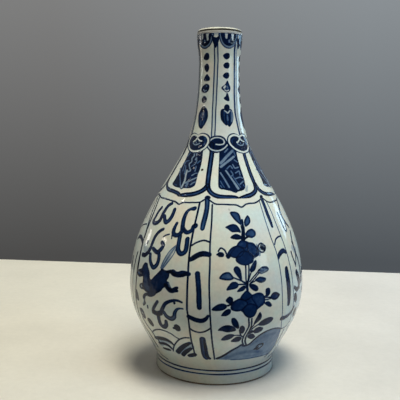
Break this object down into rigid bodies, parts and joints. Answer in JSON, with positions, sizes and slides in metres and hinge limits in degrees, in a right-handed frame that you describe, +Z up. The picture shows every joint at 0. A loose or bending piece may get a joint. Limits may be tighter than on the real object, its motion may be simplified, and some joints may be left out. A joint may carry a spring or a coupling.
{
  "type": "bottle vase",
  "caption": "Pear-shaped porcelain bottle vase on a foot ring, with a tall narrow neck, a flared rounded lip and blue painting in panels under clear glaze.",
  "frame": {"origin": "middle of the foot, on the surface that the vase stands on", "axes": "+Z up along the vase's axis; -Y is the side seen in the picture"},
  "size_m": [0.1454, 0.1454, 0.28],
  "materials": {
    "glazed_porcelain": "gloss, bluish white clear glaze over porcelain",
    "bare_porcelain": "matt, bare fired foot rim burnt warm brown",
    "luting_slip": "matt, fired slip hidden under the glaze",
    "cobalt_painting": "gloss, cobalt blue brushwork under the glaze"
  },
  "bodies": {
    "root": {"foot_ring": "bare_porcelain", "foot_seam": "luting_slip", "lower_body": "glazed_porcelain", "girth_seam": "luting_slip", "upper_body": "glazed_porcelain", "neck_seam": "luting_slip", "neck": "glazed_porcelain"}
  },
  "joints": []
}
